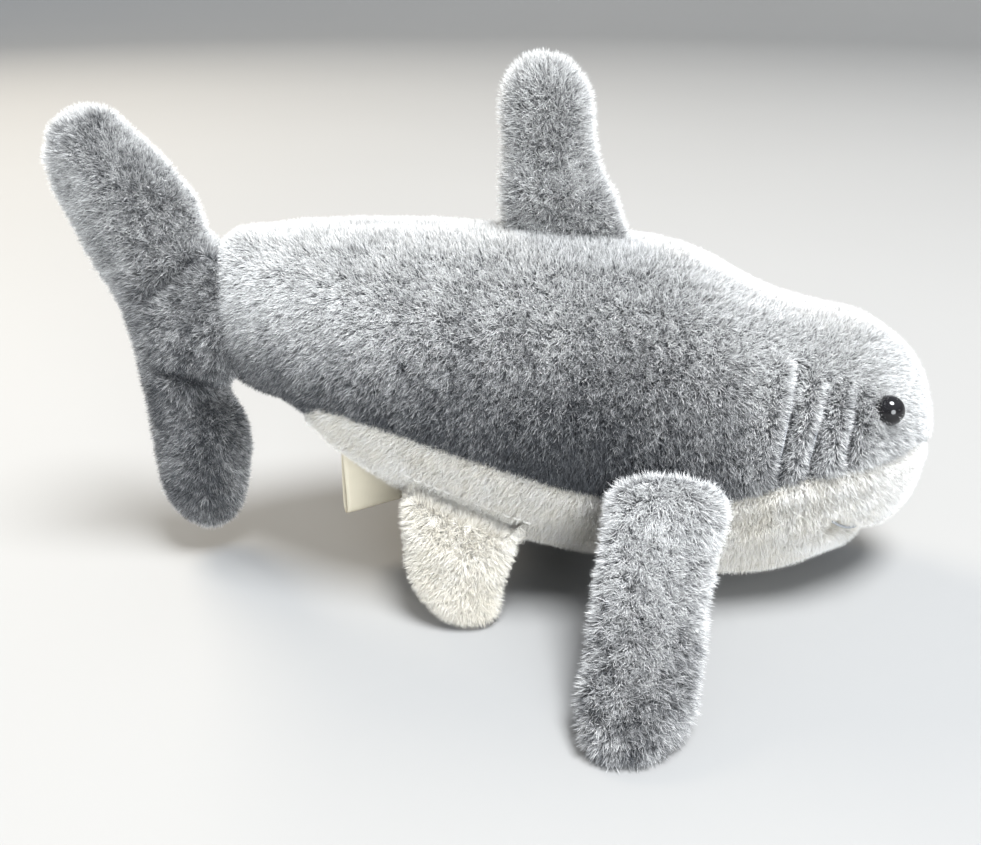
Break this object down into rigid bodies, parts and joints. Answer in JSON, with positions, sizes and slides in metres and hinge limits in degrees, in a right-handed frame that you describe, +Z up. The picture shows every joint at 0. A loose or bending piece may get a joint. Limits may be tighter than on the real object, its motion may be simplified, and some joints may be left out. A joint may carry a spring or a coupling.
{
  "type": "plush shark",
  "caption": "Stuffed plush shark lying on its chest, grey above and white below, with fins and a tail that flex on their sewn roots.",
  "frame": {"origin": "on the table, under the middle of the shark's overall box", "axes": "+X towards the nose, +Y to the shark's left, +Z up"},
  "size_m": [0.3029, 0.2326, 0.1794],
  "materials": {
    "grey_plush": "short grey plush pile with pale tips",
    "white_plush": "short white plush pile",
    "fibrefill": "loose polyester fibre",
    "grey_thread": "twisted sewing thread",
    "white_thread": "twisted sewing thread",
    "eye_plastic": "polished black",
    "washer_plastic": "moulded white",
    "label_tape": "woven satin tape, plain"
  },
  "bodies": {
    "torso": {"side_panel_right": "grey_plush", "side_panel_left": "grey_plush", "belly_panel": "white_plush", "body_stuffing": "fibrefill", "back_seam_thread": "grey_thread", "rear_seam_thread": "grey_thread", "belly_seam_thread_right": "white_thread", "belly_seam_thread_left": "white_thread", "gill_tuck_threads_right": "grey_thread", "gill_tuck_threads_left": "grey_thread", "mouth_thread": "grey_thread", "eye_right": "eye_plastic", "eye_left": "eye_plastic", "eye_washer_right": "washer_plastic", "eye_washer_left": "washer_plastic", "sewn_in_label": "label_tape", "dorsal_root_thread": "grey_thread", "tail_root_thread": "grey_thread", "pectoral_root_thread_right": "grey_thread", "pectoral_root_thread_left": "grey_thread", "pelvic_root_thread_right": "white_thread", "pelvic_root_thread_left": "white_thread"},
    "dorsal_fin": {"dorsal_panel_right": "grey_plush", "dorsal_panel_left": "grey_plush", "dorsal_stuffing": "fibrefill"},
    "tail_fin": {"tail_panel_right": "grey_plush", "tail_panel_left": "grey_plush", "tail_stuffing": "fibrefill"},
    "pectoral_fin_right": {"pectoral_upper_panel_right": "grey_plush", "pectoral_under_panel_right": "grey_plush", "pectoral_stuffing_right": "fibrefill"},
    "pectoral_fin_left": {"pectoral_upper_panel_left": "grey_plush", "pectoral_under_panel_left": "grey_plush", "pectoral_stuffing_left": "fibrefill"},
    "pelvic_fin_right": {"pelvic_outer_panel_right": "white_plush", "pelvic_inner_panel_right": "white_plush", "pelvic_stuffing_right": "fibrefill"},
    "pelvic_fin_left": {"pelvic_outer_panel_left": "white_plush", "pelvic_inner_panel_left": "white_plush", "pelvic_stuffing_left": "fibrefill"}
  },
  "joints": [
    {"name": "tail_wag", "type": "hinge", "parent": "torso", "child": "tail_fin", "pos_m": [-0.09704, 0, 0.09299], "axis": [0, 0, 1], "range_deg": [-30, 30], "stiffness_Nm_per_rad": 0.3},
    {"name": "dorsal_flop", "type": "hinge", "parent": "torso", "child": "dorsal_fin", "pos_m": [0.01956, 0, 0.12506], "axis": [0.9965, 0, -0.0831], "range_deg": [-35, 35], "stiffness_Nm_per_rad": 0.2},
    {"name": "pectoral_lift_right", "type": "hinge", "parent": "torso", "child": "pectoral_fin_right", "pos_m": [0.0535, -0.04885, 0.05046], "axis": [-0.9916, -0.0407, 0.1225], "range_deg": [-8, 55], "stiffness_Nm_per_rad": 0.3},
    {"name": "pectoral_lift_left", "type": "hinge", "parent": "torso", "child": "pectoral_fin_left", "pos_m": [0.0535, 0.04885, 0.05046], "axis": [0.9916, -0.0407, -0.1225], "range_deg": [-8, 55], "stiffness_Nm_per_rad": 0.3},
    {"name": "pelvic_lift_right", "type": "hinge", "parent": "torso", "child": "pelvic_fin_right", "pos_m": [-0.01295, -0.03685, 0.03621], "axis": [-0.9359, 0.106, 0.3359], "range_deg": [-8, 45], "stiffness_Nm_per_rad": 0.5},
    {"name": "pelvic_lift_left", "type": "hinge", "parent": "torso", "child": "pelvic_fin_left", "pos_m": [-0.01295, 0.03685, 0.03621], "axis": [0.9359, 0.106, -0.3359], "range_deg": [-8, 45], "stiffness_Nm_per_rad": 0.5}
  ]
}
